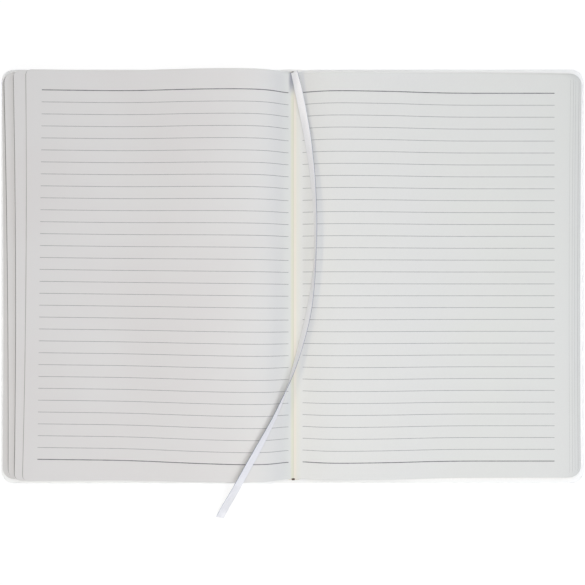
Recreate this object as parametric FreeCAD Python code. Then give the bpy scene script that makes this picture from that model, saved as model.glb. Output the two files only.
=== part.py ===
import FreeCAD, Part
import math
import os

from FreeCAD import Placement, Rotation, Vector

# A hard-cover composition notebook of lined leaves, lying open on its back near the middle,
# with a ribbon marker across the open pages.
# Millimetres. +X runs across the spread to the right page, +Y from tail to head and +Z up.
# The origin is the middle of the case's footprint, on the surface that it lies on.

# The case: two boards and a spine strip, joined by thin flexible joints
CASE_HEIGHT = 303.0
BOARD_WIDTH = 199.0
BOARD_THICKNESS = 2.4
BOARD_CORNER_RADIUS = 9.0
BOARD_EDGE_ROUND = 0.8
SPINE_WIDTH = 14.0
JOINT_WIDTH = 7.0
JOINT_THICKNESS = 0.8
HINGE_GAP = 0.1

# What is pasted to the inside of the case
PASTEDOWN_THICKNESS = 0.2
PASTEDOWN_MARGIN = 3.0
PASTEDOWN_CORNER_RADIUS = 7.0
LINING_WIDTH = 13.0
LINING_MARGIN = 12.0

# The text block: the leaves of each side lie in sheaves that part over the hump near the gutter.
# The leaves were trimmed a little out of square, so each side is shorter at the gutter.
# LEAF_SQUARE is how far the case stands beyond them at the head and at the tail.
GUTTER_X = 0.65
GUTTER_HEIGHT = 9.9
LEAF_SQUARE = 4.5
LEAF_FLARE_HEAD = 2.3
LEAF_FLARE_TAIL = 1.4
BLOCK_SHIFT = 0.4
LEAF_CORNER_RADIUS = 8.0
FORE_EDGE_BOW = 0.8
BACK_WIDTH = 14.0
BACK_MARGIN = 0.5
FOLD_HALF_WIDTH = 0.5
FOLD_DEPTH = 0.4
SEAM_OVERLAP = 0.05
CUT_BEYOND = 2.0
# How fast the hump grows from the lowest leaf, which lies flat, to the open page
HUMP_GROWTH = 0.8

# Each sheaf from the board up: its thickness, and how far its fore-edge stands back from the
# board's at the head and at the tail
LEFT_SHEAVES = [
    (0.5, 0.8, 1.2),
    (1.8, 2.0, 5.3),
    (1.6, 2.9, 6.0),
    (1.7, 10.4, 10.2),
    (1.5, 11.1, 10.9),
    (0.6, 20.0, 17.3),
]
RIGHT_SHEAVES = [
    (0.5, 2.0, 2.6),
    (1.5, 4.2, 4.2),
    (1.3, 7.0, 6.2),
    (0.9, 9.3, 8.6),
    (0.6, 11.6, 12.2),
]

# The open page's hump on each side: its rise over the flat page, and the control points of its
# curve as the distance out from the gutter and the share of that rise. The last is its foot.
LEFT_RISE = 10.4
LEFT_HUMP = [
    (4.0, -0.02),
    (8.0, 0.17),
    (17.0, 0.83),
    (33.0, 1.07),
    (60.0, 0.9),
    (90.0, 0.48),
    (118.0, 0.0),
    (141.0, 0.0),
]
RIGHT_RISE = 8.0
RIGHT_HUMP = [
    (5.0, 0.2),
    (14.0, 0.7),
    (30.0, 1.09),
    (52.0, 0.9),
    (80.0, 0.64),
    (108.0, 0.0),
    (135.0, 0.0),
]

# The head and tail bands: rolls of cloth on the ends of the block's back, which arches up to the
# open fold. BAND_PEAK_DROP is how far the peak of their route lies under the fold.
BAND_RADIUS = 1.1
BAND_MARGIN = 0.6
BAND_PEAK_DROP = 0.6
BAND_ARC_SHARE = 0.3

# The ribbon marker: a flat ribbon that lies on the open pages and hangs over their tail edge
RIBBON_WIDTH = 6.0
RIBBON_THICKNESS = 0.4
RIBBON_CLEARANCE = 0.1
RIBBON_ROUTE = [
    (1.2, 147.2),
    (6.4, 126.0),
    (13.0, 88.0),
    (16.6, 47.0),
    (16.4, 9.0),
    (12.2, -26.0),
    (3.0, -61.0),
    (-8.0, -92.0),
    (-24.0, -122.0),
    (-37.5, -146.0),
    (-46.5, -163.0),
    (-52.5, -177.0),
]
RIBBON_ARC_SHARE = 0.45
# Its fall, as control points past the leaves' tail edge: how far out, and the share of its height
RIBBON_FALL = [(3.5, 1.0), (8.0, 0.9), (13.5, 0.42), (19.0, 0.01), (25.0, 0.01)]
RIBBON_FALL_START = 0.8
RIBBON_END_RUN = 12.0
RIBBON_FALL_OVERLAP = 1.0

# How closely tangent arcs follow the drawn curves
CURVE_DEGREE = 3
ARC_TOLERANCE = 0.2

# Sizes that follow from the ones above
CASE_HALF_HEIGHT = CASE_HEIGHT / 2
HINGE_X = SPINE_WIDTH / 2 + JOINT_WIDTH
BOARD_INNER_X = HINGE_X + HINGE_GAP
BOARD_OUTER_X = BOARD_INNER_X + BOARD_WIDTH
BLOCK_BASE = BOARD_THICKNESS + PASTEDOWN_THICKNESS
LEAF_HEIGHT = CASE_HEIGHT - 2 * LEAF_SQUARE
HEAD_Y = BLOCK_SHIFT + LEAF_HEIGHT / 2
TAIL_Y = BLOCK_SHIFT - LEAF_HEIGHT / 2
LEFT, RIGHT = -1, 1

Z_AXIS = Vector(0, 0, 1)


def stack_of(sheaves):
    """The thickness of all the sheaves of one side together."""
    return sum(thickness for thickness, head, tail in sheaves)


def upright_edges(shape, keep):
    """The shape's edges along Z that keep says yes to, by their middle point."""
    found = []
    for edge in shape.Edges:
        low, high = edge.BoundBox.ZMin, edge.BoundBox.ZMax
        flat = max(edge.BoundBox.XLength, edge.BoundBox.YLength)
        if high - low > 10 * flat and keep(edge.CenterOfMass):
            found.append(edge)
    return found


def plate(side, inner, outer, low_y, high_y, bottom, thickness, corner_radius):
    """A flat plate on one side of the spine, with its two fore-edge corners rounded."""
    width = outer - inner
    start = inner if side == RIGHT else -outer
    box = Part.makeBox(width, high_y - low_y, thickness, Vector(start, low_y, bottom))
    middle = (inner + outer) / 2
    corners = upright_edges(box, lambda point: side * point.x > middle)
    return box.makeFillet(corner_radius, corners)


def cover(side):
    """A board in its covering, with soft outer edges and a square edge at the hinge."""
    body = plate(
        side, BOARD_INNER_X, BOARD_OUTER_X, -CASE_HALF_HEIGHT, CASE_HALF_HEIGHT, 0,
        BOARD_THICKNESS, BOARD_CORNER_RADIUS,
    )
    rims = []
    for edge in body.Edges:
        on_hinge = abs(edge.BoundBox.XLength) < 1e-6 and side * edge.CenterOfMass.x < BOARD_INNER_X + 1
        if edge.BoundBox.ZLength < 1e-6 and not on_hinge:
            rims.append(edge)
    return body.makeFillet(BOARD_EDGE_ROUND, rims)


def pastedown(side):
    """The half of the end paper that is pasted to a board."""
    half = CASE_HALF_HEIGHT - PASTEDOWN_MARGIN
    return plate(
        side, BOARD_INNER_X, BOARD_OUTER_X - PASTEDOWN_MARGIN, -half, half, BOARD_THICKNESS,
        PASTEDOWN_THICKNESS, PASTEDOWN_CORNER_RADIUS,
    )


def spine():
    """The spine strip with a thin joint along each side, as one profile from tail to head."""
    half = SPINE_WIDTH / 2
    profile = [
        (-HINGE_X, 0),
        (HINGE_X, 0),
        (HINGE_X, JOINT_THICKNESS),
        (half, JOINT_THICKNESS),
        (half, BOARD_THICKNESS),
        (-half, BOARD_THICKNESS),
        (-half, JOINT_THICKNESS),
        (-HINGE_X, JOINT_THICKNESS),
    ]
    return drawn_out(profile, -CASE_HALF_HEIGHT, CASE_HALF_HEIGHT)


def drawn_out(profile, low_y, high_y):
    """A solid with the same X and Z profile from low_y to high_y."""
    points = [Vector(x, low_y, z) for x, z in profile]
    face = Part.Face(Part.makePolygon(points + points[:1]))
    return face.extrude(Vector(0, high_y - low_y, 0))


def spine_lining():
    """The paper strip between the block's back and the spine strip."""
    half = CASE_HALF_HEIGHT - LINING_MARGIN
    corner = Vector(-LINING_WIDTH / 2, -half, BOARD_THICKNESS)
    return Part.makeBox(LINING_WIDTH, 2 * half, PASTEDOWN_THICKNESS, corner)


def leaf_edges(side, share, y, lift=0.0, reach=BOARD_OUTER_X + CUT_BEYOND):
    """The upper side of one leaf as a curve over the hump and a straight run to the fore-edge.

    share is the leaf's place in the stack, from 0 on the board to 1 for the open page."""
    sheaves, rise, hump = (
        (LEFT_SHEAVES, LEFT_RISE, LEFT_HUMP) if side == LEFT else (RIGHT_SHEAVES, RIGHT_RISE, RIGHT_HUMP)
    )
    flat = BLOCK_BASE + share * stack_of(sheaves) + lift
    foot = hump[-1][0]
    back = side * BACK_WIDTH / 2 - GUTTER_X
    root_out = (1 - share) * abs(back)
    root_height = BLOCK_BASE + share * (GUTTER_HEIGHT - BLOCK_BASE) + lift
    points = [Vector(GUTTER_X + side * root_out, root_height, 0)]
    for distance, part in hump:
        out = distance + root_out * (1 - distance / foot)
        height = flat + share**HUMP_GROWTH * rise * part
        points.append(Vector(GUTTER_X + side * out, height, 0))
    run = Part.LineSegment(points[-1], Vector(side * reach, flat, 0))
    upright = Placement(Vector(0, y, 0), Rotation(Vector(1, 0, 0), 90))
    return [piece.toShape().transformed(upright.toMatrix()) for piece in arcs_along(points) + [run]]


def arcs_along(points):
    """Tangent arcs that follow the smooth curve of these control points, in the XY plane."""
    curve = Part.BSplineCurve()
    curve.buildFromPoles(points, False, CURVE_DEGREE)
    return curve.toBiArcs(ARC_TOLERANCE)


def sheet_solid(side, share, lower_lift, upper_lift, low_y, high_y):
    """The solid between one leaf curve lifted by two amounts, drawn out from tail to head."""
    lower = leaf_edges(side, share, low_y, lower_lift)
    upper = leaf_edges(side, share, low_y, upper_lift)
    inner = Part.makeLine(lower[0].firstVertex(True).Point, upper[0].firstVertex(True).Point)
    outer = Part.makeLine(upper[-1].lastVertex(True).Point, lower[-1].lastVertex(True).Point)
    wire = Part.Wire(Part.__sortEdges__([inner] + upper + [outer] + lower))
    return Part.Face(wire).extrude(Vector(0, high_y - low_y, 0))


def leaf_outline(side, head_inset, tail_inset):
    """An upright prism of a sheaf's outline: flared head and tail, a bowed fore-edge and round corners.

    It is square over the back, where the end bands lie, and flares from there."""
    inner = GUTTER_X - side * BACK_WIDTH
    back = side * BACK_WIDTH / 2
    head_x = side * (BOARD_OUTER_X - head_inset)
    tail_x = side * (BOARD_OUTER_X - tail_inset)
    head_out = HEAD_Y + LEAF_FLARE_HEAD
    tail_out = TAIL_Y - LEAF_FLARE_TAIL
    fore_head = Vector(head_x, head_out, BLOCK_BASE)
    fore_tail = Vector(tail_x, tail_out, BLOCK_BASE)
    bow = Vector((head_x + tail_x) / 2 - side * FORE_EDGE_BOW, (head_out + tail_out) / 2, BLOCK_BASE)
    straight = [
        fore_tail,
        Vector(back, TAIL_Y, BLOCK_BASE),
        Vector(inner, TAIL_Y, BLOCK_BASE),
        Vector(inner, HEAD_Y, BLOCK_BASE),
        Vector(back, HEAD_Y, BLOCK_BASE),
        fore_head,
    ]
    edges = [Part.Arc(fore_head, bow, fore_tail).toShape()]
    edges += [Part.makeLine(start, end) for start, end in zip(straight, straight[1:])]
    height = BLOCK_BASE + GUTTER_HEIGHT + LEFT_RISE + RIGHT_RISE
    prism = Part.Face(Part.Wire(edges)).extrude(Vector(0, 0, height))
    corners = upright_edges(prism, lambda point: side * point.x > BOARD_WIDTH / 2)
    return prism.makeFillet(LEAF_CORNER_RADIUS, corners)


def sheaves_of(side, sheaves):
    """Each sheaf of one side: a leaf-curved slab cut to its own outline."""
    total = stack_of(sheaves)
    beyond = CASE_HALF_HEIGHT + LEAF_FLARE_HEAD
    below = 0.0
    made = []
    for thickness, head_inset, tail_inset in sheaves:
        share = (below + thickness) / total
        seam = SEAM_OVERLAP if below else 0.0
        slab = sheet_solid(side, share, -thickness - seam, 0.0, -beyond, beyond)
        made.append(slab.common(leaf_outline(side, head_inset, tail_inset)))
        below += thickness
    return made


def back_wedge():
    """The glued back of the block, where every leaf starts, up to just under the open fold."""
    half = BACK_WIDTH / 2
    top = GUTTER_HEIGHT - FOLD_DEPTH
    profile = [
        (-half - BACK_MARGIN, BLOCK_BASE),
        (half + BACK_MARGIN, BLOCK_BASE),
        (GUTTER_X + FOLD_HALF_WIDTH, top),
        (GUTTER_X - FOLD_HALF_WIDTH, top),
    ]
    return drawn_out(profile, TAIL_Y, HEAD_Y)


def text_block():
    """All the leaves as one solid, open at the gutter."""
    pieces = sheaves_of(LEFT, LEFT_SHEAVES) + sheaves_of(RIGHT, RIGHT_SHEAVES)
    return back_wedge().fuse(pieces)


def end_band(y, outward):
    """A rolled band over the arched back at one end of the block, flat against the leaves' ends."""
    foot = BACK_WIDTH / 2 - BAND_MARGIN
    foot_height = BLOCK_BASE + BAND_RADIUS
    points = [
        Vector(-foot, foot_height, 0),
        Vector(GUTTER_X, GUTTER_HEIGHT - BAND_PEAK_DROP, 0),
        Vector(foot, foot_height, 0),
    ]
    route, radii = rounded_route(points, BAND_ARC_SHARE)
    section = Part.Wire(Part.makeCircle(BAND_RADIUS, points[0], points[1] - points[0]))
    roll = route.makePipeShell([section], True, False)
    roll.Placement = Placement(Vector(0, y, 0), Rotation(Vector(1, 0, 0), 90))
    half_space = Part.makeBox(
        2 * BACK_WIDTH, BACK_WIDTH, 2 * BACK_WIDTH,
        Vector(-BACK_WIDTH, y if outward > 0 else y - BACK_WIDTH, 0),
    )
    return roll.common(half_space)


def rounded_route(points, arc_share):
    """Straight runs between the points joined by tangent arcs, in the XY plane, and the arcs' radii."""
    edges = []
    radii = []
    last = points[0]
    for before, corner, after in zip(points, points[1:], points[2:]):
        inward = (corner - before).normalize()
        outward = (after - corner).normalize()
        half_turn = inward.getAngle(outward) / 2
        cut = arc_share * min((corner - before).Length, (after - corner).Length)
        radius = cut / math.tan(half_turn)
        start = corner - inward * cut
        end = corner + outward * cut
        towards = (outward - inward).normalize()
        middle = corner + towards * (radius / math.cos(half_turn) - radius)
        edges.append(Part.makeLine(last, start))
        edges.append(Part.Arc(start, middle, end).toShape())
        radii.append(radius)
        last = end
    edges.append(Part.makeLine(last, points[-1]))
    return Part.Wire(edges), radii


def ribbon_plan():
    """A tall wall as wide as the ribbon, along its whole route."""
    path, radii = rounded_route([Vector(x, y, 0) for x, y in RIBBON_ROUTE], RIBBON_ARC_SHARE)
    height = BLOCK_BASE + GUTTER_HEIGHT + LEFT_RISE + RIGHT_RISE
    start, then = (Vector(x, y, 0) for x, y in RIBBON_ROUTE[:2])
    across = (then - start).normalize().cross(Z_AXIS) * (RIBBON_WIDTH / 2)
    corners = [start - across, start + across, start + across + Z_AXIS * height, start - across + Z_AXIS * height]
    section = Part.makePolygon(corners + corners[:1])
    print("ribbon arc radii:", ", ".join(f"{radius:.0f}" for radius in radii))
    print(f"ribbon length on plan: {path.Length:.1f}")
    return path.makePipeShell([section], True, False)


def page_height_under_ribbon():
    """The open page's height where the ribbon's route crosses the leaves' tail edge."""
    for (x, y), (next_x, next_y) in zip(RIBBON_ROUTE, RIBBON_ROUTE[1:]):
        if next_y <= TAIL_Y <= y:
            x += (next_x - x) * (y - TAIL_Y) / (y - next_y)
            break
    side = LEFT if x < GUTTER_X else RIGHT
    page = Part.Wire(leaf_edges(side, 1.0, TAIL_Y))
    upright = Part.makeLine(Vector(x, TAIL_Y, 0), Vector(x, TAIL_Y, CASE_HEIGHT))
    distance, nearest, details = page.distToShape(upright)
    return nearest[0][0].z


def ribbon_fall():
    """The ribbon past the leaves' tail edge: over the edge, down and onto the surface."""
    crest = page_height_under_ribbon() + RIBBON_CLEARANCE
    points = [Vector(0, crest, 0)] + [Vector(out, crest * part, 0) for out, part in RIBBON_FALL]
    level = Vector(RIBBON_END_RUN, 0, 0)
    lower = [piece.toShape() for piece in arcs_along(points)]
    lower.append(Part.makeLine(points[0] - level, points[0]))
    lower.append(Part.makeLine(points[-1], points[-1] + level))
    lift = Vector(0, RIBBON_THICKNESS, 0)
    upper = [edge.translated(lift) for edge in lower]
    ends = [Part.makeLine(end, end + lift) for end in (points[0] - level, points[-1] + level)]
    profile = Part.Face(Part.Wire(Part.__sortEdges__(lower + upper + ends)))
    reach = BOARD_OUTER_X
    side_view = Rotation(Z_AXIS, -90) * Rotation(Vector(1, 0, 0), 90)
    profile.Placement = Placement(Vector(-reach, TAIL_Y - RIBBON_FALL_START, 0), side_view)
    return profile.extrude(Vector(2 * reach, 0, 0))


def ribbon_marker():
    """The ribbon: its plan cut from a thin layer over the open pages, and its fall past the tail."""
    wall = ribbon_plan()
    lift = RIBBON_CLEARANCE
    layers = [
        sheet_solid(side, 1.0, lift, lift + RIBBON_THICKNESS, TAIL_Y, HEAD_Y + RIBBON_WIDTH)
        for side in (LEFT, RIGHT)
    ]
    on_pages = layers[0].fuse(layers[1]).common(wall)
    fall_start = TAIL_Y + RIBBON_FALL_OVERLAP
    past_tail = Part.makeBox(
        2 * BOARD_OUTER_X, CASE_HEIGHT, CASE_HEIGHT,
        Vector(-BOARD_OUTER_X, fall_start - CASE_HEIGHT, 0),
    )
    hanging = ribbon_fall().common(wall).common(past_tail)
    return on_pages.fuse(hanging)


def main():
    parts = {
        "front_cover": cover(LEFT),
        "back_cover": cover(RIGHT),
        "spine": spine(),
        "spine_lining": spine_lining(),
        "front_pastedown": pastedown(LEFT),
        "back_pastedown": pastedown(RIGHT),
        "text_block": text_block(),
        "head_band": end_band(HEAD_Y, 1),
        "tail_band": end_band(TAIL_Y, -1),
        "ribbon_marker": ribbon_marker(),
    }
    os.makedirs("parts", exist_ok=True)
    for name, shape in parts.items():
        clean = shape.removeSplitter()
        if not clean.isValid() or len(clean.Solids) != 1:
            raise ValueError(f"{name}: {len(clean.Solids)} solids, valid {clean.isValid()}")
        solid = clean.Solids[0]
        box = solid.BoundBox
        print(
            f"{name}: {solid.Volume / 1000:.1f} cm3,"
            f" X {box.XMin:.1f} to {box.XMax:.1f},"
            f" Y {box.YMin:.1f} to {box.YMax:.1f},"
            f" Z {box.ZMin:.2f} to {box.ZMax:.2f}"
        )
        solid.exportStep(f"parts/{name}.step")


main()
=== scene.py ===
import math
import random

import bpy
import numpy as np
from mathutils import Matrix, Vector

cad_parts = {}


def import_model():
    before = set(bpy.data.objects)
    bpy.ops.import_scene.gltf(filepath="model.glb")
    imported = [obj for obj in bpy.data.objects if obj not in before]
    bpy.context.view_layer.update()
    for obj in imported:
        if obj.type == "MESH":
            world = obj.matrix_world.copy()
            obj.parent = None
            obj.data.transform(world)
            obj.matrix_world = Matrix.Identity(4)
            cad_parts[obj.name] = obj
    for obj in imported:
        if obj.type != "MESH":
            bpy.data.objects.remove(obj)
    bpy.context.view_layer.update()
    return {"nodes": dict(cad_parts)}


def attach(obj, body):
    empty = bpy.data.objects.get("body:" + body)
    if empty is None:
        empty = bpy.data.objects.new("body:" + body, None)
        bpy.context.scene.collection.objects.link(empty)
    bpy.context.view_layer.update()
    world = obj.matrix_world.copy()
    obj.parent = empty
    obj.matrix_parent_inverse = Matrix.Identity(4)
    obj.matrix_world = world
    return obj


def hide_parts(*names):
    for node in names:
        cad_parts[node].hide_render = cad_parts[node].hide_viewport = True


# Looks for the open composition notebook: lined leaves in a white case, with a ribbon marker.
# The frame's own axes: +X across the spread to the right page, +Y from tail to head, +Z up.
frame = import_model()
scene = bpy.context.scene

MM = 0.001
LEFT, RIGHT = -1, 1

# The camera looks straight down, as in the photograph
CAMERA_Y = -11.7 * MM
CAMERA_HEIGHT = 627.3 * MM
CAMERA_LENS = 52.55
CAMERA_SENSOR = 36

# The block's driving sizes, in millimetres, as in part.py
BLOCK_BASE = 2.6
BOARD_OUTER_X = 213.1
GUTTER_X = 0.65
GUTTER_HEIGHT = 9.9
HEAD_Y = 147.4
TAIL_Y = -146.6
LEAF_FLARE_HEAD = 2.3
LEAF_FLARE_TAIL = 1.4
BACK_WIDTH = 14.0
HUMP_GROWTH = 0.8
CURVE_DEGREE = 3

# Each sheaf from the board up: its thickness, and how far its fore-edge stands back from the
# board's at the head and at the tail. These insets are within 1.2 mm of those in part.py.
SHEAVES = {
    LEFT: [
        (0.5, 0.8, 1.2),
        (1.8, 2.3, 5.6),
        (1.6, 3.3, 6.5),
        (1.7, 10.4, 11.1),
        (1.5, 11.2, 12.0),
        (0.6, 20.5, 18.1),
    ],
    RIGHT: [
        (0.5, 2.0, 2.6),
        (1.5, 4.1, 4.8),
        (1.3, 6.9, 7.4),
        (0.9, 8.8, 9.6),
        (0.6, 11.2, 11.8),
    ],
}
# Each sheaf's corner radius, how much less than LEAF_FLARE_HEAD and LEAF_FLARE_TAIL it flares, the
# bow of its fore-edge, and, where it doesn't fan out from the sheaf below, how far its lowest leaf
# stands out beyond its top one
OUTLINES = {
    LEFT: [
        (8.0, 1.3, 0.0, 0.8, 0.0),
        (8.0, 1.1, 0.0, 0.9, 0.45),
        (8.0, 1.0, 0.0, 1.1, 0.0),
        (5.5, 0.5, 0.0, 1.4, 0.45),
        (5.0, 0.4, 0.0, 1.4, 0.0),
        (4.0, 0.0, 0.0, 1.4, 0.75),
    ],
    RIGHT: [
        (8.0, 1.4, 1.2, 0.8, 0.4),
        (7.0, 1.7, 1.4, 0.8, 0.7),
        (6.0, 2.2, 1.6, 0.8, 0.57),
        (5.5, 2.7, 1.8, 0.8, 0.47),
        (5.0, 3.2, 2.0, 0.8, 0.38),
    ],
}
# The head edge isn't quite straight: how far it draws in beside the glued back, within DIP_REACH,
# and how far it swells out again between the distances of WAVE_SPAN from the middle
HEAD_DIP = {LEFT: 0.0, RIGHT: 0.9}
DIP_REACH = 7.0
HEAD_WAVE = {LEFT: 0.0, RIGHT: 1.25}
WAVE_SPAN = (60.0, 192.0)
# The open page's hump on each side, as in part.py: its rise over the flat page, and the control
# points of its curve as the distance out from the gutter and the share of that rise
RISE = {LEFT: 10.4, RIGHT: 8.0}
HUMP = {
    LEFT: [
        (4.0, -0.02),
        (8.0, 0.17),
        (17.0, 0.83),
        (33.0, 1.07),
        (60.0, 0.9),
        (90.0, 0.48),
        (118.0, 0.0),
        (141.0, 0.0),
    ],
    RIGHT: [
        (5.0, 0.2),
        (14.0, 0.7),
        (30.0, 1.09),
        (52.0, 0.9),
        (80.0, 0.64),
        (108.0, 0.0),
        (135.0, 0.0),
    ],
}

# How the block is divided into single leaves: their pitch, how much of it a leaf fills, and how
# far the humps of a sheaf's leaves part
LEAF_PITCH = 0.12
LEAF_FILL = 0.88
LEAF_FAN = 0.35
# A sheaf that stands back by less than FAN_LIMIT from the one below fans out from it, and its leaves'
# edges are painted dark as crevice shade up to the share FAN_DARK of its thickness
FAN_LIMIT = 1.8
FAN_DARK = 0.85
# How far the leaves' tail edge draws in at the fold, and how far from the fold that starts
FOLD_NOTCH = 0.75
FOLD_NOTCH_REACH = 2.6
# How unevenly the leaves are trimmed
TRIM_JITTER = 0.12
TRIM_SEED = 7
# The glued back: how far its ridge lies under the fold, the ridge's half width, and how far the
# back's ends stand inside the leaves'
RIDGE_DROP = 0.5
RIDGE_HALF_WIDTH = 0.4
BACK_END_MARGIN = 0.1
CURVE_SAMPLES = 44
OPEN_PAGE_SAMPLES = 200
CORNER_POINTS = 8
FORE_EDGE_POINTS = 14
LEAF_SHARP_ANGLE = 35

# The ruling, in millimetres: 32 lines on each page, of which the first and last are heavy. The
# lines turn a little with their page, and the middle ones sag towards the tail.
RULE_SPACES = 31
RULE_SPAN = 267.0
RULE_SAG = 0.58
RULE_HALF_WIDTH = 0.14
RULE_HEAVY_HALF_WIDTH = 0.3
# Part of a space, to tell the outermost lines from their neighbours
RULE_TOLERANCE = 0.25
LEFT_RULES = {"middle": -0.95, "turn": -0.0121, "start": -182.7, "end": -2.9}
RIGHT_RULES = {"middle": -0.58, "turn": 0.0, "start": 7.3, "end": 190.2}

# Tints and painted shade of the paper beside the fold: the distances from it, in millimetres, between
# which each fades in and then out again. Distances below zero are on the left page. The last two are
# painted shade: on the left page's slope into the fold, and in the fold's hollow at the head.
LEFT_TINT = ((-2.6, -0.9), (0.2, 0.6))
RIGHT_TINT = ((0.0, 0.5), (1.8, 6.5))
SLOPE_SHADE = ((-11.0, -3.5), (-0.6, 0.4))
HOLLOW_SHADE = ((-4.2, -1.8), (0.2, 1.0))
# How far from the head the strips' tints fade out, and the painted shade of the fold's hollow fades in
TINT_END = (20.0, 8.0)
HOLLOW_SHADE_START = (18.0, 6.0)
# The painted shade along the fold's crease, the darkest line, beside the fold on the left: its
# distance from the fold and its soft half width
CREASE_SHADE_OFFSET = 0.1
CREASE_SHADE_SIDES = (0.1, 0.5)

# The ribbon, in millimetres. Its woven edges are RIBBON_THICKNESS thick, and between them it is
# thinner by RIBBON_SELVEDGE. Its route is x and y, as in part.py up to the tail edge.
RIBBON_WIDTH = 6.0
RIBBON_THICKNESS = 0.3
RIBBON_SELVEDGE = 0.12
RIBBON_ROUTE = [
    (1.2, 147.2),
    (6.4, 126.0),
    (13.0, 88.0),
    (16.6, 47.0),
    (16.4, 9.0),
    (12.2, -26.0),
    (3.0, -61.0),
    (-8.0, -92.0),
    (-24.0, -122.0),
    (-37.5, -146.0),
]
# Past the tail edge: x, y and height
RIBBON_FALL = [
    (-39.9, -150.9, 21.2),
    (-42.5, -155.8, 17.6),
    (-45.6, -161.8, 11.6),
    (-48.6, -167.4, 6.2),
    (-51.0, -172.2, 2.4),
    (-53.2, -176.6, 1.4),
]
# How far the ribbon leans over from lying flat, in degrees, at places along Y. Its right edge is
# up at first, and it turns over a little past the gutter.
RIBBON_LEAN = [
    (147.2, 46),
    (138.0, 30),
    (125.0, 25),
    (114.0, 33),
    (98.0, 36),
    (89.0, 48),
    (73.0, 54),
    (57.0, 65),
    (35.0, 73),
    (13.0, 80),
    (4.0, 77),
    (-6.0, 69),
    (-16.0, 61),
    (-26.0, 55),
    (-36.0, 55),
    (-46.0, 57),
    (-56.0, 61),
    (-66.0, 68),
    (-76.0, 80),
    (-87.0, 106),
    (-95.0, 115),
    (-105.0, 119),
    (-115.0, 130),
    (-125.0, 139),
    (-145.0, 141),
    (-154.0, 150),
    (-177.0, 155),
]
# The distances along Y over which the lean is softened
LEAN_SPREAD = (-6, -3, 0, 3, 6)
# What the route adds to the height of the page, and how much more than its thickness the settled
# ribbon's lowest middle point stands over the page
RIBBON_LIFT = 0.3
RIBBON_REST = 0.05
# How far it curls across, and the share of its half width at which the woven edges start
RIBBON_CURL = 0.35
SELVEDGE_START = 0.8
RIBBON_LINE_STEPS = 14
RIBBON_EVEN_STEPS = 4
RIBBON_ACROSS = 12
RIBBON_SHARP_ANGLE = 50

# The end bands, in millimetres, as in part.py
BAND_RADIUS = 1.1
BAND_MARGIN = 0.6
BAND_PEAK_DROP = 0.6
BAND_ARC_SHARE = 0.3
# Their threads: the number of wraps, the depth of the grooves between them as a share of the
# radius, the number of dark stripes, and a dark stripe's soft half width as shares of its pitch
BAND_THREADS = 30
BAND_GROOVE = 0.14
BAND_STRIPES = 3
BAND_STRIPE_SIDE = (0.14, 0.18)
# How much further the tail band stands out in the leaves' notch, as a share of its radius
BAND_SWELL = 0.8
BAND_LEG_STEPS = 40
BAND_BEND_STEPS = 30
BAND_SECTION_POINTS = 12
BAND_SHARP_ANGLE = 60

# The studio, in metres. The floor lies FLOOR_DROP under the notebook, and its glow grows from
# FLOOR_GLOW to 1 between the two distances of FLOOR_FADE from the middle.
FLOOR_HALF = 4.0
FLOOR_DROP = 0.0002
FLOOR_COLOUR = (0.8, 0.8, 0.8, 1)
FLOOR_SHADE = (0.26, 0.26, 0.26, 1)
FLOOR_GLOW = 0.79
FLOOR_FADE = (0.35, 1.2)
WORLD_LIGHT = 0.304
WORLD_COLOUR = (0.82, 0.94, 1.22, 1)
LAMP_COLOUR = (1.03, 1.01, 0.97)
WARM_COLOUR = (1.2, 1.04, 0.68)
# Each lamp's name, place, width and length, power in watts, and colour
SOFTBOXES = [
    ("top", (0.055, 0.0, 0.62), (1.3, 0.22), 2.45, LAMP_COLOUR),
    ("key", (0.85, 0.0, 0.8), (0.3, 0.3), 2.45, LAMP_COLOUR),
    ("window", (-1.4, 0.0, 1.3), (0.35, 0.35), 6.4, WARM_COLOUR),
    ("front", (0.0, -0.95, 0.7), (0.4, 0.4), 2.45, LAMP_COLOUR),
]


def stack_of(side):
    """The thickness of all the sheaves of one side together."""
    return sum(sheaf[0] for sheaf in SHEAVES[side])


def clamped_curve(points, count):
    """Steps along the clamped cubic B-spline of these control points."""
    points = np.array(points, float)
    spans = len(points) - CURVE_DEGREE
    knots = [0] * CURVE_DEGREE + list(range(spans + 1)) + [spans] * CURVE_DEGREE
    curve = []
    for step in np.linspace(0, spans, count):
        span = min(int(step), spans - 1) + CURVE_DEGREE
        corners = points[span - CURVE_DEGREE:span + 1].copy()
        for level in range(1, CURVE_DEGREE + 1):
            for i in range(CURVE_DEGREE, level - 1, -1):
                low = knots[span - CURVE_DEGREE + i]
                high = knots[span + 1 + i - level]
                share = (step - low) / (high - low)
                corners[i] = (1 - share) * corners[i - 1] + share * corners[i]
        curve.append(corners[CURVE_DEGREE])
    return np.array(curve)


def leaf_curve(side, share, hump_share, count=CURVE_SAMPLES):
    """Distance from the gutter and height along a leaf's upper side, out to the hump's foot.

    share is the leaf's place in the stack, and hump_share the place that its hump is as high as."""
    flat = BLOCK_BASE + share * stack_of(side)
    foot = HUMP[side][-1][0]
    root_out = (1 - share) * abs(side * BACK_WIDTH / 2 - GUTTER_X)
    root_height = BLOCK_BASE + share * (GUTTER_HEIGHT - BLOCK_BASE)
    points = [(root_out, root_height)]
    for distance, part in HUMP[side]:
        out = distance + root_out * (1 - distance / foot)
        points.append((out, flat + hump_share**HUMP_GROWTH * RISE[side] * part))
    return clamped_curve(points, count)


OPEN_PAGE = {side: leaf_curve(side, 1.0, 1.0, OPEN_PAGE_SAMPLES) for side in (LEFT, RIGHT)}


def page_height(x):
    """The height of the open page at x, in millimetres."""
    side = LEFT if x < GUTTER_X else RIGHT
    curve = OPEN_PAGE[side]
    return float(np.interp(abs(x - GUTTER_X), curve[:, 0], curve[:, 1]))


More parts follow.
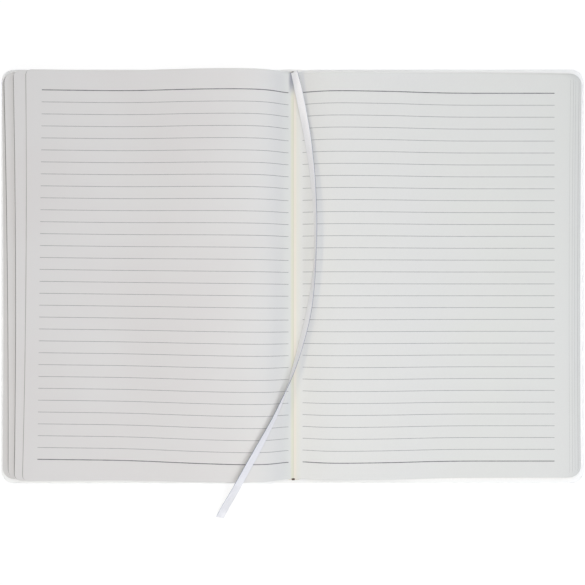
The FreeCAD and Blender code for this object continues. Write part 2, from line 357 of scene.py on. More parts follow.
def new_object(name, vertices, faces, body, materials, face_materials=None):
    """A mesh piece from points in millimetres, riding on a body of the frame."""
    mesh = bpy.data.meshes.new(name)
    mesh.from_pydata([[value * MM for value in point] for point in vertices], [], faces)
    for material in materials:
        mesh.materials.append(material)
    if face_materials:
        mesh.polygons.foreach_set("material_index", face_materials)
    mesh.polygons.foreach_set("use_smooth", [True] * len(mesh.polygons))
    mesh.update()
    obj = bpy.data.objects.new(name, mesh)
    scene.collection.objects.link(obj)
    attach(obj, body)
    return obj


# Materials

def tone(red, green, blue):
    """A colour written as it looks on screen, from 0 to 255, as linear values by the sRGB curve."""
    values = []
    for value in (red, green, blue):
        share = value / 255
        values.append(share / 12.92 if share <= 0.04045 else ((share + 0.055) / 1.055) ** 2.4)
    return (*values, 1.0)


class Look:
    """A node material with one Principled shader, and short calls for the nodes that feed it."""

    def __init__(self, name, roughness, specular):
        self.material = bpy.data.materials.new(name)
        self.material.use_nodes = True
        self.tree = self.material.node_tree
        self.shader = self.tree.nodes["Principled BSDF"]
        self.shader.inputs["Roughness"].default_value = roughness
        self.shader.inputs["Specular IOR Level"].default_value = specular
        self.object_point = self.node("ShaderNodeTexCoord").outputs["Object"]

    def node(self, kind, **settings):
        """A new node of this kind with these settings."""
        made = self.tree.nodes.new(kind)
        for key, value in settings.items():
            setattr(made, key, value)
        return made

    def feed(self, socket, value):
        """Links a socket to another node's output, or sets it to a plain value."""
        if isinstance(value, bpy.types.NodeSocket):
            self.tree.links.new(value, socket)
        else:
            socket.default_value = value

    def math(self, operation, *values):
        """What one operation makes of these values."""
        made = self.node("ShaderNodeMath", operation=operation)
        for socket, value in zip(made.inputs, values):
            self.feed(socket, value)
        return made.outputs[0]

    def mix(self, share, first, second):
        """Two colours mixed. The node's sockets for colours come after those for other kinds."""
        made = self.node("ShaderNodeMix", data_type="RGBA")
        self.feed(made.inputs[0], share)
        self.feed(made.inputs[6], first)
        self.feed(made.inputs[7], second)
        return made.outputs[2]

    def ramp(self, value, low, high, start=0.0, end=1.0):
        """A smooth step from start to end while value goes from low to high."""
        made = self.node("ShaderNodeMapRange", interpolation_type="SMOOTHSTEP")
        self.feed(made.inputs["Value"], value)
        made.inputs["From Min"].default_value = low
        made.inputs["From Max"].default_value = high
        made.inputs["To Min"].default_value = start
        made.inputs["To Max"].default_value = end
        return made.outputs["Result"]

    def strip(self, value, span):
        """1 inside a strip with soft sides. span is where value fades it in and then out."""
        (in_low, in_high), (out_low, out_high) = span
        inner = self.ramp(value, in_low, in_high)
        return self.math("MULTIPLY", inner, self.ramp(value, out_low, out_high, start=1.0, end=0.0))

    def scaled(self, x, y, z, source=None):
        """The object's point, or another vector, stretched by three numbers."""
        made = self.node("ShaderNodeVectorMath", operation="MULTIPLY")
        self.feed(made.inputs[0], source or self.object_point)
        made.inputs[1].default_value = (x, y, z)
        return made.outputs[0]

    def noise(self, vector, scale, detail=2.0, roughness=0.5):
        """Smooth noise from 0 to 1 over a vector."""
        made = self.node("ShaderNodeTexNoise")
        self.feed(made.inputs["Vector"], vector)
        made.inputs["Scale"].default_value = scale
        made.inputs["Detail"].default_value = detail
        made.inputs["Roughness"].default_value = roughness
        return made.outputs["Fac"]

    def parts(self, vector):
        """A vector's X, Y and Z."""
        made = self.node("ShaderNodeSeparateXYZ")
        self.feed(made.inputs[0], vector)
        return made.outputs

    def colour(self, value):
        """Sets the surface's colour."""
        self.feed(self.shader.inputs["Base Color"], value)

    def bump(self, height, distance, strength):
        """Roughens the surface by a height. distance is in metres."""
        made = self.node("ShaderNodeBump")
        self.feed(made.inputs["Height"], height)
        made.inputs["Distance"].default_value = distance
        made.inputs["Strength"].default_value = strength
        self.tree.links.new(made.outputs[0], self.shader.inputs["Normal"])


def rules_of(look, x, y, rules):
    """1 on one page's printed lines and 0 elsewhere, and 1 at its heavy ones. x and y are in mm."""
    middle = look.math("MULTIPLY_ADD", x, rules["turn"], rules["middle"])
    above = look.math("SUBTRACT", y, middle)
    # The sheet's own sag moves the middle lines a little towards the tail
    share = look.math("DIVIDE", above, RULE_SPAN / 2)
    sag = look.math("MULTIPLY_ADD", look.math("MULTIPLY", share, share), -RULE_SAG, RULE_SAG)
    pitch = RULE_SPAN / RULE_SPACES
    count = look.math("ADD", look.math("DIVIDE", look.math("ADD", above, sag), pitch), RULE_SPACES / 2)
    nearest = look.math("ROUND", count)
    away = look.math("MULTIPLY", look.math("ABSOLUTE", look.math("SUBTRACT", count, nearest)), pitch)
    from_middle = look.math("ABSOLUTE", look.math("SUBTRACT", nearest, RULE_SPACES / 2))
    heavy = look.math("GREATER_THAN", from_middle, RULE_SPACES / 2 - RULE_TOLERANCE)
    extra = RULE_HEAVY_HALF_WIDTH - RULE_HALF_WIDTH
    half = look.math("MULTIPLY_ADD", heavy, extra, RULE_HALF_WIDTH)
    line = look.math("LESS_THAN", away, half)
    ruled = look.math("LESS_THAN", from_middle, RULE_SPACES / 2 + RULE_TOLERANCE)
    skew = look.math("MULTIPLY_ADD", y, rules["turn"], x)
    after = look.math("GREATER_THAN", skew, rules["start"])
    before = look.math("LESS_THAN", x, rules["end"])
    inside = look.math("MULTIPLY", look.math("MULTIPLY", after, before), ruled)
    return look.math("MULTIPLY", line, inside), heavy


def page_look():
    """Ruled white paper, tinted beside the open fold, with painted shade towards the left page's outer
    part, on its slope into the fold, along the fold's crease and in the fold's hollow at the head.
    """
    look = Look("ruled_paper", roughness=0.75, specular=0.2)
    place = look.parts(look.scaled(1 / MM, 1 / MM, 1 / MM))
    x, y = place["X"], place["Y"]
    fibres = look.noise(look.object_point, scale=900, detail=3.0)
    clouds = look.noise(look.object_point, scale=14, detail=1.0)
    # Painted shade: the paper is painted darker and warmer towards the left page's outer part, where
    # less light falls, and a little darker and yellower towards the right page's outer part, against
    # its bluer light
    paper = look.mix(look.ramp(x, -70.0, 20.0), tone(216, 213, 212), tone(220, 220, 217))
    paper = look.mix(look.ramp(x, 60.0, 160.0), paper, tone(218, 219, 215))
    paper = look.mix(look.ramp(clouds, 0.35, 0.65, end=0.3), paper, tone(220, 220, 219))
    paper = look.mix(look.ramp(fibres, 0.3, 0.7, end=0.4), paper, tone(216, 216, 214))

    # The strip beside the fold: green-yellow on the left, peach or cream on the right
    out = look.math("SUBTRACT", x, GUTTER_X)
    right_tone = look.mix(look.ramp(out, 1.4, 2.8), tone(224, 218, 207), tone(219, 218, 209))
    below_head = look.ramp(y, HEAD_Y - TINT_END[0], HEAD_Y - TINT_END[1], start=1.0, end=0.0)
    left_share = look.math("MULTIPLY", look.strip(out, LEFT_TINT), below_head)
    right_share = look.math("MULTIPLY", look.strip(out, RIGHT_TINT), below_head)
    # Painted shade on the left page's slope down into the fold
    slope_shade = look.math("MULTIPLY", look.strip(out, SLOPE_SHADE), 0.6)
    paper = look.mix(slope_shade, paper, tone(211, 213, 210))
    paper = look.mix(left_share, paper, tone(216, 216, 199))
    paper = look.mix(right_share, paper, right_tone)
    # The fold's crease is painted as a dark line of shade
    from_line = look.math("ABSOLUTE", look.math("ADD", out, CREASE_SHADE_OFFSET))
    crease_shade = look.math("MULTIPLY", look.ramp(from_line, *CREASE_SHADE_SIDES, start=1.0, end=0.0), 0.3)
    paper = look.mix(crease_shade, paper, tone(186, 184, 160))
    # Painted shade in the fold's hollow at the head, where the ribbon comes out
    at_head = look.ramp(y, HEAD_Y - HOLLOW_SHADE_START[0], HEAD_Y - HOLLOW_SHADE_START[1], end=0.8)
    hollow_shade = look.math("MULTIPLY", look.strip(out, HOLLOW_SHADE), at_head)
    paper = look.mix(hollow_shade, paper, tone(138, 139, 152))

    left_line, left_heavy = rules_of(look, x, y, LEFT_RULES)
    right_line, right_heavy = rules_of(look, x, y, RIGHT_RULES)
    line = look.math("MAXIMUM", left_line, right_line)
    heavy = look.math("MULTIPLY", look.math("MAXIMUM", left_heavy, right_heavy), line)
    ink = look.mix(heavy, tone(112, 113, 117), tone(88, 89, 92))
    uneven = look.ramp(look.noise(look.object_point, scale=260), 0.3, 0.7, start=0.82)
    look.colour(look.mix(look.math("MULTIPLY", line, uneven), paper, ink))
    look.bump(fibres, distance=0.00002, strength=0.5)
    return look.material


def leaf_edge_look(name, light, dark):
    """The cut edges of the leaves: fine streaks along them, from many thin sheets. In dark tones it is
    painted shade, in the crevices and on the steps between sheaves.
    """
    look = Look(name, roughness=0.85, specular=0.15)
    streaks = look.noise(look.scaled(30, 30, 5200), scale=1.0, roughness=0.7)
    look.colour(look.mix(look.ramp(streaks, 0.35, 0.65), dark, light))
    look.bump(streaks, distance=0.00004, strength=0.6)
    return look.material


def cover_look():
    """White covered board with the fine pebble grain of coated paper."""
    look = Look("white_cover", roughness=0.55, specular=0.35)
    grain = look.noise(look.object_point, scale=1900, detail=3.0, roughness=0.6)
    patches = look.noise(look.object_point, scale=30)
    base = look.mix(look.ramp(patches, 0.3, 0.7), tone(247, 247, 246), tone(249, 249, 248))
    look.colour(look.mix(look.ramp(grain, 0.35, 0.65, end=0.3), base, tone(241, 242, 241)))
    look.bump(grain, distance=0.00006, strength=0.6)
    return look.material


def endpaper_look(name, light, dark):
    """Smooth white paper."""
    look = Look(name, roughness=0.7, specular=0.25)
    fibres = look.noise(look.object_point, scale=700, detail=4.0, roughness=0.6)
    look.colour(look.mix(look.ramp(fibres, 0.35, 0.65), light, dark))
    look.bump(fibres, distance=0.00003, strength=0.5)
    return look.material


def band_look():
    """Cream threads with stripes of dark brown ones, one of them on the crest of the band."""
    look = Look("band_threads", roughness=0.8, specular=0.2)
    along = look.parts(look.node("ShaderNodeTexCoord").outputs["UV"])["X"]
    turn = look.math("FRACT", look.math("MULTIPLY", along, BAND_STRIPES))
    from_stripe = look.math("ABSOLUTE", look.math("SUBTRACT", turn, 0.5))
    brown = look.ramp(from_stripe, *BAND_STRIPE_SIDE, start=1.0, end=0.0)
    fuzz = look.noise(look.object_point, scale=5000)
    cream = look.mix(fuzz, tone(240, 234, 224), tone(226, 218, 205))
    dark = look.mix(fuzz, tone(108, 92, 80), tone(82, 68, 58))
    look.colour(look.mix(brown, cream, dark))
    look.bump(fuzz, distance=0.00005, strength=0.7)
    return look.material


def ribbon_look():
    """White satin: fine floats along the ribbon, and cross ribs at its woven edges."""
    look = Look("white_satin", roughness=0.38, specular=0.45)
    uv = look.node("ShaderNodeTexCoord").outputs["UV"]
    place = look.parts(uv)
    floats = look.noise(look.scaled(46, 900, 1, uv), scale=1.0, roughness=0.6)
    ribs = look.math("SINE", look.math("MULTIPLY", place["Y"], 3200))
    edge = look.ramp(look.math("ABSOLUTE", look.math("SUBTRACT", place["X"], 0.5)), 0.42, 0.46)
    height = look.math("ADD", floats, look.math("MULTIPLY", look.math("MULTIPLY", ribs, edge), 0.5))
    satin = look.mix(look.ramp(floats, 0.35, 0.65), tone(236, 236, 238), tone(223, 223, 227))
    look.colour(look.mix(look.math("MULTIPLY", edge, 0.5), satin, tone(220, 221, 228)))
    look.shader.inputs["Sheen Weight"].default_value = 0.25
    look.shader.inputs["Sheen Roughness"].default_value = 0.4
    look.bump(height, distance=0.00005, strength=0.5)
    return look.material


def ribbon_edge_shade_look():
    """The ribbon's woven edge seen end on, painted dark blue-grey as shade where little light gets
    between the threads.
    """
    look = Look("satin_edge_shade", roughness=0.8, specular=0.2)
    threads = look.noise(look.object_point, scale=2600)
    look.colour(look.mix(threads, tone(142, 144, 168), tone(112, 115, 140)))
    return look.material


# The text block: every leaf is a thin slab, and all of them are one piece

def leaves_of(side):
    """Each leaf from the board up: its places in the stack and hump, its outline and its surface."""
    total = stack_of(side)
    shuffle = random.Random(TRIM_SEED + side)
    below = 0.0
    last = None
    for sheaf, outline in zip(SHEAVES[side], OUTLINES[side]):
        thickness, head_inset, tail_inset = sheaf
        radius, head_step, tail_step, bow, ledge = outline
        sheaf_share = (below + thickness) / total
        count = round(thickness / LEAF_PITCH)
        fans = last is not None and max(head_inset - last[0], tail_inset - last[1]) < FAN_LIMIT
        start = last if fans else (head_inset - ledge, tail_inset - ledge)
        for i in range(count):
            part = (i + 1) / count
            share = (below + thickness * part) / total
            insets = [low + (high - low) * part for low, high in zip(start, (head_inset, tail_inset))]
            on_top = i == count - 1
            # Below a sheaf's top leaf, the leaves' upper faces show at its edge as steps or crevices,
            # painted dark as shade
            if on_top:
                surface = "page"
            elif not fans:
                surface = "step"
            elif part < FAN_DARK:
                surface = "crevice_shade"
            else:
                surface = "edge"
            jitter = [0.0 if on_top else shuffle.uniform(0, TRIM_JITTER) for _ in range(3)]
            yield {
                "share": share,
                "hump_share": sheaf_share + (share - sheaf_share) * LEAF_FAN,
                "thickness": thickness / count * LEAF_FILL,
                "head_inset": insets[0] + jitter[0],
                "tail_inset": insets[1] + jitter[0],
                "head_trim": jitter[1],
                "tail_trim": jitter[2],
                "head_dip": HEAD_DIP[side],
                "head_wave": HEAD_WAVE[side],
                "head_flare": LEAF_FLARE_HEAD - head_step,
                "tail_flare": LEAF_FLARE_TAIL - tail_step,
                "radius": radius,
                "bow": bow,
                "surface": surface,
            }
        below += thickness
        last = (head_inset, tail_inset)


def end_line(leaf, x, end):
    """The y of a leaf's head (end 1) or tail (end -1) edge at a distance x from the middle."""
    reach = BOARD_OUTER_X - (leaf["head_inset"] if end > 0 else leaf["tail_inset"])
    part = max(0.0, (x - BACK_WIDTH / 2) / (reach - BACK_WIDTH / 2))
    if end > 0:
        dip = leaf["head_dip"]
        drawn = min(1.0, max(0.0, (x - BACK_WIDTH / 2) / DIP_REACH))
        along = min(1.0, max(0.0, (x - WAVE_SPAN[0]) / (WAVE_SPAN[1] - WAVE_SPAN[0])))
        y = HEAD_Y - dip * drawn + (leaf["head_flare"] + dip) * part - leaf["head_trim"]
        return y + leaf["head_wave"] * math.sin(math.pi * along)
    return TAIL_Y - leaf["tail_flare"] * part + leaf["tail_trim"]


def notch_at(x):
    """How far the leaves' tail edge draws in where they meet at the fold."""
    part = max(0.0, 1 - abs(x - GUTTER_X) / FOLD_NOTCH_REACH)
    return FOLD_NOTCH * part * part * (3 - 2 * part)


def fore_edge(leaf, y):
    """The distance from the middle of a leaf's bowed fore-edge at y."""
    low, high = TAIL_Y - leaf["tail_flare"], HEAD_Y + leaf["head_flare"]
    part = (y - low) / (high - low)
    inset = leaf["tail_inset"] + (leaf["head_inset"] - leaf["tail_inset"]) * part
    return BOARD_OUTER_X - inset - leaf["bow"] * 4 * part * (1 - part)


def corner_points(leaf, end):
    """A leaf's rounded corner as x and y, from the head or tail edge to the fore-edge."""
    radius = leaf["radius"]
    edge = fore_edge(leaf, end_line(leaf, BOARD_OUTER_X, end) - end * radius)
    points = []
    for i in range(CORNER_POINTS + 1):
        angle = math.pi / 2 * i / CORNER_POINTS
        x = edge - radius * (1 - math.sin(angle))
        points.append((x, end_line(leaf, x, end) - end * radius * (1 - math.cos(angle))))
    return points


def leaf_rim(leaf):
    """The outline beyond the hump's foot, from the tail edge round the fore-edge to the head edge."""
    tail = corner_points(leaf, -1)
    head = corner_points(leaf, 1)
    low, high = tail[-1][1], head[-1][1]
    middle = []
    for i in range(1, FORE_EDGE_POINTS):
        y = low + (high - low) * i / FORE_EDGE_POINTS
        middle.append((fore_edge(leaf, y), y))
    return tail + middle + head[::-1]


def add_leaf(side, leaf, vertices, faces, roles):
    """Adds one leaf as a closed thin slab that follows its curve."""
    curve = leaf_curve(side, leaf["share"], leaf["hump_share"])
    xs = [GUTTER_X + side * out for out in curve[:, 0]]
    tail = [(x, end_line(leaf, abs(x), -1) + notch_at(x), z) for x, z in zip(xs, curve[:, 1])]
    head = [(x, end_line(leaf, abs(x), 1), z) for x, z in zip(xs, curve[:, 1])]
    rim = [(side * x, y, curve[-1, 1]) for x, y in leaf_rim(leaf)]
    loop = tail + rim + head[::-1]
    first = len(vertices)
    total = len(loop)
    vertices.extend(loop)
    vertices.extend((x, y, z - leaf["thickness"]) for x, y, z in loop)
    columns = len(tail)
    upper = [[i, i + 1, total - 2 - i, total - 1 - i] for i in range(columns - 1)]
    upper.append(list(range(columns - 1, total - columns + 1)))
    lower = [[i + total for i in face[::-1]] for face in upper]
    walls = [
        [i, i + total, (i + 1) % total + total, (i + 1) % total]
        for i in range(total)
    ]
    for group, role in ((upper, leaf["surface"]), (lower, "edge"), (walls, "edge")):
        for face in group:
            ordered = face if side == RIGHT else face[::-1]
            faces.append([first + i for i in ordered])
            roles.append(role)


def add_back(vertices, faces, roles):
    """Adds the glued back of the block, under the fold."""
    half = BACK_WIDTH / 2
    top = GUTTER_HEIGHT - RIDGE_DROP
    profile = [
        (-half, BLOCK_BASE),
        (half, BLOCK_BASE),
        (GUTTER_X + RIDGE_HALF_WIDTH, top),
        (GUTTER_X - RIDGE_HALF_WIDTH, top),
    ]
    first = len(vertices)
    for y in (TAIL_Y + BACK_END_MARGIN + FOLD_NOTCH, HEAD_Y - BACK_END_MARGIN):
        vertices.extend((x, y, z) for x, z in profile)
    for i in range(4):
        after = (i + 1) % 4
        faces.append([first + 4 + i, first + 4 + after, first + after, first + i])
    faces.append([first, first + 1, first + 2, first + 3])
    faces.append([first + 7, first + 6, first + 5, first + 4])
    roles.extend(["edge"] * 6)


def text_block():
    """The text block's leaves and their glued back, as one piece."""
    vertices, faces, roles = [], [], []
    for side in (LEFT, RIGHT):
        for leaf in leaves_of(side):
            add_leaf(side, leaf, vertices, faces, roles)
    add_back(vertices, faces, roles)
    # The order of the materials below; the crevices' and the steps' looks are painted shade
    order = ["page", "edge", "crevice_shade", "step"]
    materials = [
        page_look(),
        leaf_edge_look("leaf_edges", tone(224, 223, 220), tone(196, 195, 191)),
        leaf_edge_look("leaf_crevice_shade", tone(112, 111, 110), tone(82, 81, 80)),
        leaf_edge_look("leaf_step_shade", tone(168, 167, 163), tone(144, 143, 139)),
    ]
    obj = new_object(
        "leaves", vertices, faces, "book", materials, [order.index(role) for role in roles],
    )
    obj.data.set_sharp_from_angle(angle=math.radians(LEAF_SHARP_ANGLE))
    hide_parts("text_block")


# The ribbon

def lean_at(y):
    """The ribbon's lean at y, in radians, softened between its key places."""
    keys = sorted(RIBBON_LEAN)
    places = [key[0] for key in keys]
    leans = [key[1] for key in keys]
    around = [np.interp(y + offset, places, leans) for offset in LEAN_SPREAD]
    return math.radians(sum(around) / len(around))


def ribbon_route():
    """The route's control points, with the height of the ribbon's middle at each."""
    half = RIBBON_WIDTH / 2
    points = []
    for x, y in RIBBON_ROUTE:
        points.append((x, y, page_height(x) + RIBBON_LIFT + half * abs(math.sin(lean_at(y)))))
    return points + RIBBON_FALL


def spline_points(name, points, resolution):
    """The points of the NURBS spline with these control points, in millimetres."""
    curve = bpy.data.curves.new(name, "CURVE")
    curve.dimensions = "3D"
    spline = curve.splines.new("NURBS")
    spline.points.add(len(points) - 1)
    for slot, point in zip(spline.points, points):
        slot.co = (*[value * MM for value in point], 1.0)
    spline.order_u = 3
    spline.use_endpoint_u = True
    spline.resolution_u = resolution
    holder = bpy.data.objects.new(name, curve)
    scene.collection.objects.link(holder)
    mesh = bpy.data.meshes.new_from_object(holder)
    line = [Vector(vertex.co) / MM for vertex in mesh.vertices]
    bpy.data.objects.remove(holder)
    bpy.data.curves.remove(curve)
    bpy.data.meshes.remove(mesh)
    return line


def settling(points):
    """How far a section has to move up or down to lie on the page. Past the tail it only moves up."""
    on_pages = points[0].y > TAIL_Y - RIBBON_WIDTH / 2
    clear = min(point.z - (page_height(point.x) if on_pages else 0.0) for point in points)
    lift = RIBBON_REST + RIBBON_THICKNESS - clear
    return lift if on_pages else max(0.0, lift)


def evened(values, window, pick):
    """Each value replaced by what pick makes of its neighbours."""
    return [pick(values[max(0, i - window):i + window + 1]) for i in range(len(values))]


def ribbon_section(middle, along, lean):
    """Points across the ribbon, from its left edge to its right one, and the way its face looks."""
    level = Vector((0, 0, 1)).cross(along).normalized()
    up = along.cross(level).normalized()
    across = level * math.cos(lean) + up * math.sin(lean)
    face = up * math.cos(lean) - level * math.sin(lean)
    points = []
    for i in range(RIBBON_ACROSS + 1):
        part = 2 * i / RIBBON_ACROSS - 1
        curl = face * (RIBBON_CURL * (1 - part * part))
        points.append(middle + across * (part * RIBBON_WIDTH / 2) + curl)
    return points, face


def settled_sections(line):
    """The ribbon's sections along its line, and how far each one rises to lie on the page."""
    sections = []
    lifts = []
    for i, middle in enumerate(line):
        along = (line[min(i + 1, len(line) - 1)] - line[max(i - 1, 0)]).normalized()
        points, face = ribbon_section(middle, along, lean_at(middle.y))
        sections.append((points, face))
        lifts.append(settling(points))
    # The lifts are evened out along the ribbon so that it stays smooth
    highest = evened(lifts, RIBBON_EVEN_STEPS, max)
    smooth = evened(highest, RIBBON_EVEN_STEPS, lambda near: sum(near) / len(near))
    return sections, smooth


def ribbon_vertices(sections, lifts):
    """The ribbon's upper and lower points at each section, thicker at its woven edges."""
    vertices = []
    for (points, face), lift in zip(sections, lifts):
        rise = Vector((0, 0, lift))
        for sign in (1, -1):
            for i, point in enumerate(points):
                part = abs(2 * i / RIBBON_ACROSS - 1)
                edge = RIBBON_SELVEDGE * max(0.0, (part - SELVEDGE_START) / (1 - SELVEDGE_START))
                thick = (RIBBON_THICKNESS - RIBBON_SELVEDGE) / 2 + edge / 2
                vertices.append(point + rise + face * (sign * thick))
    return vertices


def ribbon_faces(last):
    """The faces round the ribbon from section 0 to the last one, and which look each has."""
    count = RIBBON_ACROSS + 1
    ring = 2 * count
    order = list(range(count)) + [count + i for i in reversed(range(count))]
    faces, looks = [], []
    for i in range(last):
        for a, b in zip(order, order[1:] + order[:1]):
            faces.append([(i + 1) * ring + a, (i + 1) * ring + b, i * ring + b, i * ring + a])
            looks.append(1 if a // count != b // count else 0)
    faces.append(order)
    faces.append([last * ring + a for a in reversed(order)])
    looks.extend([1, 1])
    return faces, looks


def ribbon():
    """The ribbon marker, with its two woven edges in a look of their own, painted as shade."""
    line = spline_points("ribbon_line", ribbon_route(), RIBBON_LINE_STEPS)
    sections, lifts = settled_sections(line)
    last = len(sections) - 1
    vertices = ribbon_vertices(sections, lifts)
    faces, face_looks = ribbon_faces(last)
    materials = [ribbon_look(), ribbon_edge_shade_look()]
    obj = new_object("ribbon", vertices, faces, "book", materials, face_looks)
    layer = obj.data.uv_layers.new(name="UVMap")
    count = RIBBON_ACROSS + 1
    for corner in obj.data.loops:
        i, spot = divmod(corner.vertex_index, 2 * count)
        layer.data[corner.index].uv = (spot % count / RIBBON_ACROSS, i / last)
    obj.data.set_sharp_from_angle(angle=math.radians(RIBBON_SHARP_ANGLE))
    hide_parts("ribbon_marker")
    length = sum((b - a).length for a, b in zip(line, line[1:]))
    [value * MM for value in line[0]]


# The end bands

def band_route():
    """The middle line of a band over the arched back: two legs and a rounded peak, as x and z."""
    foot = BACK_WIDTH / 2 - BAND_MARGIN
    low = BLOCK_BASE + BAND_RADIUS
    ends = [Vector((-foot, low)), Vector((foot, low))]
    peak = Vector((GUTTER_X, GUTTER_HEIGHT - BAND_PEAK_DROP))
    inward = (peak - ends[0]).normalized()
    outward = (ends[1] - peak).normalized()
    cut = BAND_ARC_SHARE * min((peak - ends[0]).length, (ends[1] - peak).length)
    before, after = peak - inward * cut, peak + outward * cut
    legs = []
    for start, end in ((ends[0], before), (after, ends[1])):
        legs.append([start.lerp(end, i / BAND_LEG_STEPS) for i in range(BAND_LEG_STEPS + 1)])
    bend = []
    for i in range(1, BAND_BEND_STEPS):
        part = i / BAND_BEND_STEPS
        bend.append(before * (1 - part) ** 2 + peak * 2 * part * (1 - part) + after * part * part)
    return legs[0] + bend + legs[1]


def end_band(name, node, y, outward, look):
    """A half-round roll of threads on one end of the block's back. outward is 1 at the head."""
    route = band_route()
    lengths = [0.0]
    for a, b in zip(route, route[1:]):
        lengths.append(lengths[-1] + (b - a).length)
    crest = max(range(len(route)), key=lambda i: route[i].y)
    vertices, faces = [], []
    for i, point in enumerate(route):
        # The tail band fills the leaves' notch at the fold
        notch = notch_at(point.x) if outward < 0 else 0.0
        swell = 1 + BAND_SWELL * notch / FOLD_NOTCH
        along = (route[min(i + 1, len(route) - 1)] - route[max(i - 1, 0)]).normalized()
        normal = Vector((-along.y, along.x))
        wrap = abs(math.sin(math.pi * BAND_THREADS * lengths[i] / lengths[-1]))
        radius = BAND_RADIUS * (1 - BAND_GROOVE + BAND_GROOVE * wrap)
        for j in range(BAND_SECTION_POINTS + 1):
            angle = math.pi * j / BAND_SECTION_POINTS - math.pi / 2
            side = normal * (radius * math.sin(angle))
            out = radius * math.cos(angle) * swell - notch
            vertices.append((point.x + side.x, y + outward * out, point.y + side.y))
    ring = BAND_SECTION_POINTS + 1
    for i in range(len(route) - 1):
        for j in range(ring):
            after = (j + 1) % ring
            face = [i * ring + j, i * ring + after, (i + 1) * ring + after, (i + 1) * ring + j]
            faces.append(face if outward > 0 else face[::-1])
    last = (len(route) - 1) * ring
    start_cap = list(reversed(range(ring)))
    end_cap = [last + j for j in range(ring)]
    for cap in (start_cap, end_cap):
        faces.append(cap if outward > 0 else cap[::-1])
    obj = new_object(name, vertices, faces, "book", [look])
    layer = obj.data.uv_layers.new(name="UVMap")
    for corner in obj.data.loops:
        i, j = divmod(corner.vertex_index, ring)
        from_crest = (lengths[i] - lengths[crest]) / lengths[-1]
        layer.data[corner.index].uv = (0.5 + from_crest, j / ring)
    obj.data.set_sharp_from_angle(angle=math.radians(BAND_SHARP_ANGLE))
    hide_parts(node)


def dress_case():
    """The case keeps its solids, with a material for each."""
    cover = cover_look()
    paper = endpaper_look("endpaper", tone(247, 247, 245), tone(243, 243, 241))
    looks = {
        "front_cover": cover,
        "back_cover": cover,
        "spine": cover,
        "spine_lining": paper,
        "front_pastedown": paper,
        "back_pastedown": paper,
    }
    for name, look in looks.items():
        obj = frame["nodes"][name]
        obj.data.materials.clear()
        obj.data.materials.append(look)


# Floor, light and camera

def white_to_camera(tree, lit, shown):
    """Mixes two shaders: lit for light that bounces, and shown for what the eye and mirrors see."""
    path = tree.nodes.new("ShaderNodeLightPath")
    seen = path.outputs["Is Camera Ray"]
    for name in ("Is Glossy Ray", "Is Transmission Ray"):
        both = tree.nodes.new("ShaderNodeMath")
        both.operation = "MAXIMUM"
        tree.links.new(seen, both.inputs[0])
        tree.links.new(path.outputs[name], both.inputs[1])
        seen = both.outputs[0]
    mixed = tree.nodes.new("ShaderNodeMixShader")
    tree.links.new(seen, mixed.inputs[0])
    tree.links.new(lit, mixed.inputs[1])
    tree.links.new(shown, mixed.inputs[2])
    return mixed.outputs[0]


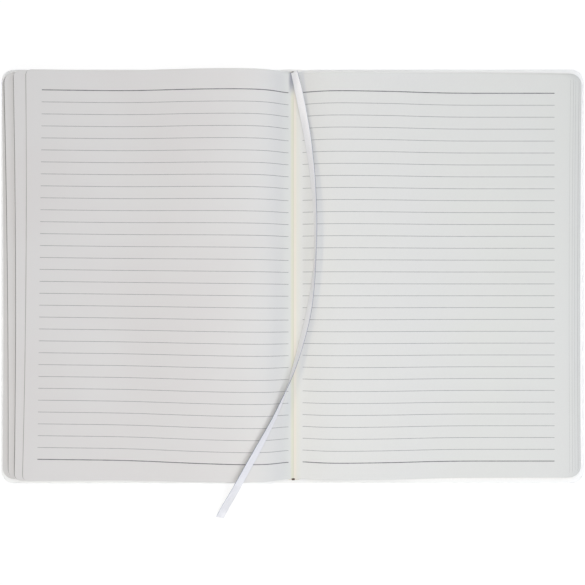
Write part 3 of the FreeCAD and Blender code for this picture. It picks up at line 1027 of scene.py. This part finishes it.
def floor():
    """A wide floor that is white to the eye and keeps the notebook's shadow."""
    mesh = bpy.data.meshes.new("floor")
    signs = ((-1, -1), (1, -1), (1, 1), (-1, 1))
    corners = [(x * FLOOR_HALF, y * FLOOR_HALF, -FLOOR_DROP) for x, y in signs]
    mesh.from_pydata(corners, [], [(0, 1, 2, 3)])
    material = bpy.data.materials.new("floor")
    material.use_nodes = True
    tree = material.node_tree
    tree.nodes.clear()
    lit = tree.nodes.new("ShaderNodeBsdfDiffuse")
    lit.inputs["Color"].default_value = FLOOR_COLOUR
    shade = tree.nodes.new("ShaderNodeBsdfDiffuse")
    shade.inputs["Color"].default_value = FLOOR_SHADE
    # The glow makes up for the lamps' light that the floor loses far from the notebook
    place = tree.nodes.new("ShaderNodeTexCoord").outputs["Object"]
    distance = tree.nodes.new("ShaderNodeVectorMath")
    distance.operation = "LENGTH"
    tree.links.new(place, distance.inputs[0])
    fade = tree.nodes.new("ShaderNodeMapRange")
    fade.interpolation_type = "SMOOTHSTEP"
    tree.links.new(distance.outputs["Value"], fade.inputs["Value"])
    fade.inputs["From Min"].default_value = FLOOR_FADE[0]
    fade.inputs["From Max"].default_value = FLOOR_FADE[1]
    fade.inputs["To Min"].default_value = FLOOR_GLOW
    fade.inputs["To Max"].default_value = 1.0
    glow = tree.nodes.new("ShaderNodeEmission")
    tree.links.new(fade.outputs["Result"], glow.inputs["Strength"])
    shown = tree.nodes.new("ShaderNodeAddShader")
    tree.links.new(shade.outputs[0], shown.inputs[0])
    tree.links.new(glow.outputs[0], shown.inputs[1])
    out = tree.nodes.new("ShaderNodeOutputMaterial")
    tree.links.new(white_to_camera(tree, lit.outputs[0], shown.outputs[0]), out.inputs["Surface"])
    mesh.materials.append(material)
    obj = bpy.data.objects.new("floor", mesh)
    scene.collection.objects.link(obj)


def world():
    """An even, slightly blue light from all sides that is white to the eye."""
    made = bpy.data.worlds.new("studio")
    scene.world = made
    made.use_nodes = True
    tree = made.node_tree
    tree.nodes.clear()
    lit = tree.nodes.new("ShaderNodeBackground")
    lit.inputs["Color"].default_value = WORLD_COLOUR
    lit.inputs["Strength"].default_value = WORLD_LIGHT
    shown = tree.nodes.new("ShaderNodeBackground")
    shown.inputs["Color"].default_value = (1, 1, 1, 1)
    shown.inputs["Strength"].default_value = 1.0
    out = tree.nodes.new("ShaderNodeOutputWorld")
    tree.links.new(white_to_camera(tree, lit.outputs[0], shown.outputs[0]), out.inputs["Surface"])


def softbox(name, place, size, power, colour):
    """An area light that faces the middle of the notebook. size is its width and its length."""
    data = bpy.data.lights.new(name, "AREA")
    data.shape = "RECTANGLE"
    data.size, data.size_y = size
    data.energy = power
    data.color = colour
    obj = bpy.data.objects.new(name, data)
    obj.location = place
    obj.rotation_euler = (-Vector(place)).to_track_quat("-Z", "Y").to_euler()
    obj.visible_camera = False
    scene.collection.objects.link(obj)


def camera():
    """The photograph's camera."""
    data = bpy.data.cameras.new("camera")
    data.lens = CAMERA_LENS
    data.sensor_width = CAMERA_SENSOR
    obj = bpy.data.objects.new("camera", data)
    obj.location = (0, CAMERA_Y, CAMERA_HEIGHT)
    scene.collection.objects.link(obj)
    scene.camera = obj


scene.view_settings.view_transform = "Standard"
camera()
ribbon()
text_block()
bands = band_look()
end_band("head_band_threads", "head_band", HEAD_Y, 1, bands)
end_band("tail_band_threads", "tail_band", TAIL_Y, -1, bands)
dress_case()
floor()
world()
for lamp in SOFTBOXES:
    softbox(*lamp)
